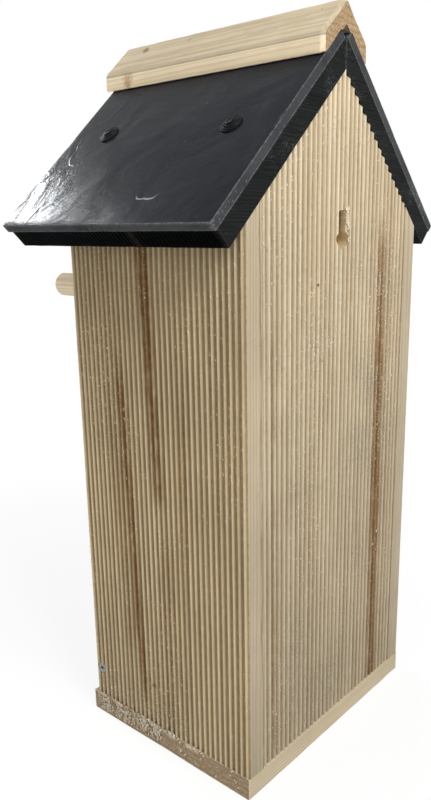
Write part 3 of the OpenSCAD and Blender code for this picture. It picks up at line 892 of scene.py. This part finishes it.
def perchProfile():     # a slightly uneven dowel with a rounded tip
    radius, inside, tip, edge = (perch[k] for k in ("radius", "inside", "tip", "edge"))
    profile = [(0.0, inside), (radius, inside)]
    for i in range(1, perch["rings"] + 1):
        along = inside + (tip + edge - inside) * i / perch["rings"]
        profile.append((radius - perch["uneven"] * (1 + wobble(i * 1.3, 0, 0)), along))
    for i in range(1, 6):
        a = math.pi / 2 * i / 5
        profile.append((radius - edge * (1 - math.cos(a)), tip + edge * (1 - math.sin(a))))
    return profile + [(0.0, tip)]


perchMesh = sweep(perchProfile(), 48)
for vert in perchMesh.verts:
    vert.co = Vector((vert.co.x, vert.co.z, perch["height"] + vert.co.y))
dowelPine = pineBoard("dowelPine", perch["look"])
finishPiece("perchDowel", pointOutwards(perchMesh), [dowelPine], "front", ["perch"])

roofLook = {"deckEnd": 0.146, "sheetStart": 0.0015, "sheetEnd": 0.147, "deckFront": -0.0983, "seam": 0.0065,
            "sheetFront": -0.1005}
deckFace, deckEnd, shadedDeckEave = (blackPaint(name) for name in ("blackDeckFace", "blackDeckEnd", "blackDeckEaveShaded"))
sheetTop, sheetEdge = sheetRubber("slateRubberTop"), sheetRubber("slateRubberEdge")
for side, word in ((1, "Right"), (-1, "Left")):
    def slopePoint(down, up):
        point = onSlope(side, down, 0, up)
        return point.x, point.z

    deckOutline = [(0.0, ridgeZ), slopePoint(roofLook["deckEnd"], 0),
                   slopePoint(roofLook["deckEnd"], -boxSizes["deck"]), (0.0, underRidge)]
    for part, y0, y1 in (("Front", roofLook["deckFront"], roofLook["seam"]), ("Rear", roofLook["seam"], backY)):
        bar = barMesh(deckOutline, "y", y0, y1, "deck", 5.0 + side, {1: 2})
        finishPiece("roofBoard" + word + part, bar, [deckFace, deckEnd, shadedDeckEave], "box",
                    ["roof_board_" + word.lower() + "_" + part.lower()])
    sheetOutline = [slopePoint(roofLook[end], up) for end, up in (
        ("sheetStart", boxSizes["sheet"]), ("sheetEnd", boxSizes["sheet"]), ("sheetEnd", 0), ("sheetStart", 0))]
    bar = barMesh(sheetOutline, "y", roofLook["sheetFront"], backY, "sheet", 9.0 + side, {1: 1, 2: 1, 3: 1})
    finishPiece("roofSheet" + word, bar, [sheetTop, sheetEdge], "box", ["roof_sheet_" + word.lower()])

capKnots = [((0.0053, -0.0836, 0.4385), 0.0024, 0.9, 0.5), ((0.0067, -0.0818, 0.4372), 0.0017, 0.8, 0.3),
            ((0.0205, -0.0845, 0.4180), 0.0052, 0.5, 0.0), ((0.0205, -0.0850, 0.4140), 0.0030, 0.4, 0.2),
            ((-0.012, 0.02, 0.4315), 0.002, 0.6, 0.5)]
ridgeCap = {
    "front": -0.1073, "half": 0.021, "edge": 0.0113, "seatGap": 0.0004, "endOrange": 0.75, "endTint": 0.82,
    "look": {"axis": "y", "seed": 2.3, "lines": 230.0, "streaks": [(0, 0.0165, -0.02, 0.0012, -0.10, 0.03, 0.3)],
             "knots": capKnots, "tint": 0.87, "fuzz": 0.2},
    # painted light: the cap's two side faces get a brighter copy of the ridge pine, as if more light fell on them
    "litSideLook": {"axis": "y", "seed": 2.7, "lines": 230.0, "knots": capKnots, "tint": 1.60, "fuzz": 0.2},
    "holeRadius": 0.0009, "holeX": 0.005, "holesY": (-0.0435, 0.0555),
}
capInner = ridgeZ + boxSizes["sheet"] / slopeCos + ridgeCap["seatGap"]
half, capEdge = ridgeCap["half"], ridgeCap["edge"]
capLow = capInner - half * slopeTan
capOutline = [(0, capInner), (half, capLow), (half, capLow + capEdge), (0, capInner + capEdge),
              (-half, capLow + capEdge), (-half, capLow)]
capBar = barMesh(capOutline, "y", ridgeCap["front"], backY, "cap", 21.0, {1: 2, 4: 2})
capPine = pineBoard("ridgePine", ridgeCap["look"])
capPiece = finishPiece(
    "ridgeCap", capBar, [capPine, pineEnd("ridgeEndGrain", ridgeCap["endOrange"], ridgeCap["endTint"]),
                         pineBoard("ridgeLitSidePine", ridgeCap["litSideLook"])], "box", ["ridge_cap"])
cutWith(capPiece, [rodCutter(ridgeCap["holeRadius"], (x, y, capLow), (x, y, capInner + capEdge + 0.001), capPine, 16)
                   for x in (ridgeCap["holeX"], -ridgeCap["holeX"]) for y in ridgeCap["holesY"]])
print("nest box: roof ready")


# washers and screws
washerShape = {     # rings are shares of the radius and of the height
    "radius": 0.0065, "height": 0.0024, "places": ((0.0695, -0.0656), (0.0742, 0.0362)), "screwShare": 0.215,
    "rings": ((0, 0), (1, 0), (1, 0.22), (0.965, 0.36), (0.90, 0.40), (0.86, 0.27), (0.82, 0.27), (0.78, 0.5),
              (0.70, 0.56), (0.66, 0.42), (0.62, 0.42), (0.58, 0.70), (0.49, 0.76), (0.45, 0.60), (0.41, 0.60),
              (0.38, 0.92), (0.33, 1), (0.25, 1), (0.225, 0.86), (0.225, 0.62), (0, 0.62)),
    "screwRings": ((0, 0.62), (1, 0.63), (1, 0.80), (0.85, 0.88), (0.45, 0.88), (0.35, 0.70), (0, 0.70)),
}
crossScrew = {"shank": 0.00175, "foot": -0.0295, "steps": 32, "recess": -0.0015, "sunk": 0.0007, "edge": -0.0001,
              "armShare": 0.62, "heartShare": 0.26, "recessShare": 0.72,
              "rings": ((1, -0.0003), (0.94, 0.0), (0.70, 0.0), (0.66, -0.0001)),
              "baseSpots": ((0.07925, -0.039), (0.07925, 0.039), (-0.07925, -0.039), (-0.07925, 0.039),
                            (0.0, 0.06225))}


def moved(bm, place, turn):       # turns a piece at the origin and takes it to its place
    bmesh.ops.transform(bm, matrix=Matrix.Translation(place) @ turn, verts=bm.verts)
    return bm


def joined(parts):
    bm = bmesh.new()
    for part in parts:
        mesh = bpy.data.meshes.new("part")
        part.to_mesh(mesh)
        part.free()
        bm.from_mesh(mesh)
        bpy.data.meshes.remove(mesh)
    return bm


def onSheet(rings, radius, steps):      # one turned part on each of the four places of the sheets
    profile = [(radius * across, washerShape["height"] * up) for across, up in rings]
    parts = []
    for side in (1, -1):
        turn = Matrix.Rotation(side * slopeAngle, 4, "Y")
        for down, y in washerShape["places"]:
            parts.append(moved(sweep(profile, steps), onSlope(side, down, y, boxSizes["sheet"]), turn))
    return joined(parts)


washerMesh = onSheet(washerShape["rings"], washerShape["radius"], 64)
finishPiece("roofWashers", washerMesh, [washerRubber("washerRubber")], "box", ["roof_washers"])
screwMesh = onSheet(washerShape["screwRings"], washerShape["radius"] * washerShape["screwShare"], 24)
finishPiece("roofScrews", screwMesh, [blackMetal], "box", ["roof_screws"])


def crossHead(radius):    # countersunk screw with a cross recess, facing up at the origin
    steps, shank = crossScrew["steps"], crossScrew["shank"]
    bm = bmesh.new()
    rows = [[bm.verts.new(p) for p in circlePoints(radius * share, steps, depth)]
            for share, depth in crossScrew["rings"]]
    cross = []
    for i in range(steps):
        a = 2 * math.pi * i / steps
        arm = max(abs(math.cos(2 * a)) ** 4 * crossScrew["armShare"], crossScrew["heartShare"])
        cross.append(bm.verts.new((*around(radius * arm, a), crossScrew["edge"])))
    taperIn = crossScrew["recessShare"]
    floor = [bm.verts.new((v.co.x * taperIn, v.co.y * taperIn, crossScrew["recess"])) for v in cross]
    joinRings(bm, rows + [cross])
    # the recess faces take the second material, the painted shade
    joinRings(bm, [cross, floor], lambda i: 1)
    bm.faces.new(floor).material_index = 1
    taper, foot = ([bm.verts.new(p) for p in circlePoints(shank, steps, z)] for z in (-shank, crossScrew["foot"]))
    joinRings(bm, [foot, taper, rows[0]])
    bm.faces.new(foot)
    return pointOutwards(bm)


pivotMesh = joined([
    moved(crossHead(pivot["head"]), (side * (halfWidth - crossScrew["sunk"]), pivot["y"], pivot["z"]),
          Matrix.Rotation(side * math.pi / 2, 4, "Y") @ Matrix.Rotation(0.5, 4, "Z")) for side in (1, -1)])
finishPiece("pivotScrews", pivotMesh, [zincMetal, recessShadeMetal], "box", ["pivot_screws"])
footMesh = joined([
    moved(crossHead(pivot["head"]), (x, y, 0.0),
          Matrix.Rotation(math.pi, 4, "X") @ Matrix.Rotation(x * 9 + y * 7, 4, "Z"))
    for x, y in crossScrew["baseSpots"]])
finishPiece("baseScrews", footMesh, [zincMetal, recessShadeMetal], "box", ["base_screws"])

for node in ("wall_brads", "deck_nails", "ridge_brads"):
    nodes[node].data.materials.clear()
    nodes[node].data.materials.append(zincMetal if node == "deck_nails" else blackMetal)
print("nest box: fasteners ready")


# floor and light
studio = {"floorHalf": 14.0, "floorZ": -0.0004, "floorTone": 0.90, "floorGlow": 0.84, "white": 1.02,
          "fade": (0.15, 0.9), "air": (0.95, 0.975, 1.0, 1.0), "airLight": 0.33}


def whiteSeen(tree):        # 1 for the rays that should meet a white background
    rays = addNode(tree, "ShaderNodeLightPath").outputs
    seen = calc("MAXIMUM", rays["Is Camera Ray"], rays["Is Transmission Ray"])
    return calc("MAXIMUM", seen, rays["Is Glossy Ray"])


def blendShaders(tree, amount, first, second, output):
    blend = addNode(tree, "ShaderNodeMixShader", None, {0: amount})
    tree.links.new(first.outputs[0], blend.inputs[1])
    tree.links.new(second.outputs[0], blend.inputs[2])
    tree.links.new(blend.outputs[0], addNode(tree, output).inputs["Surface"])


def floorMaterial(name):
    material = bpy.data.materials.new(name)
    tree = emptyTree(material)
    tone = studio["floorTone"]
    diffuse = addNode(tree, "ShaderNodeBsdfDiffuse", None, {"Color": (tone, tone, tone, 1.0)})
    shine = addNode(tree, "ShaderNodeEmission", None, {"Color": (1, 1, 1, 1), "Strength": studio["white"]})
    place = addNode(tree, "ShaderNodeTexCoord").outputs["Object"]
    away = addNode(tree, "ShaderNodeVectorMath", {"operation": "LENGTH"}, {0: place}).outputs["Value"]
    glow = remap(away, *studio["fade"], studio["floorGlow"], 1.0, True)      # plain white away from the box
    blendShaders(tree, times(whiteSeen(tree), glow), diffuse, shine, "ShaderNodeOutputMaterial")
    return material


floorMesh = bpy.data.meshes.new("studioFloor")
floorCorners = [(x * studio["floorHalf"], y * studio["floorHalf"], studio["floorZ"])
                for x, y in ((-1, -1), (1, -1), (1, 1), (-1, 1))]
floorMesh.from_pydata(floorCorners, [], [(0, 1, 2, 3)])
floorMesh.materials.append(floorMaterial("paleFloor"))
studioFloor = addObject("studioFloor", floorMesh)

lampSetup = {       # place, aim, size, power in watts, colour
    "window": ((0.30, 1.25, 1.45), (0.0, 0.0, 0.28), 0.7, 28.0, (0.985, 0.985, 0.985)),
    "skylight": ((-0.068, -1.715, 1.30), (0.088, -0.06, 0.346), 0.20, 10.0, (0.96, 0.98, 1.0)),
    "fill": ((1.55, -1.25, 1.30), (0.05, 0.0, 0.2), 1.0, 6.5, (1.0, 0.985, 0.96)),
}
for name, (place, aim, size, power, colour) in lampSetup.items():
    lamp = bpy.data.lights.new(name, "AREA")
    lamp.shape, lamp.size, lamp.energy, lamp.color = "SQUARE", size, power, colour
    holder = addObject(name, lamp)
    turn = (Vector(place) - Vector(aim)).to_track_quat("Z", "Y").to_matrix().to_4x4()
    holder.matrix_world = Matrix.Translation(place) @ turn

world = bpy.data.worlds.new("studioAir")
bpy.context.scene.world = world
airTree = emptyTree(world)
softAir = addNode(airTree, "ShaderNodeBackground", None, {"Color": studio["air"], "Strength": studio["airLight"]})
whiteAir = addNode(airTree, "ShaderNodeBackground", None, {"Color": (1, 1, 1, 1), "Strength": 1.0})
blendShaders(airTree, whiteSeen(airTree), softAir, whiteAir, "ShaderNodeOutputWorld")

bpy.context.scene.view_settings.view_transform = "Standard"
print("nest box: floor and light ready")
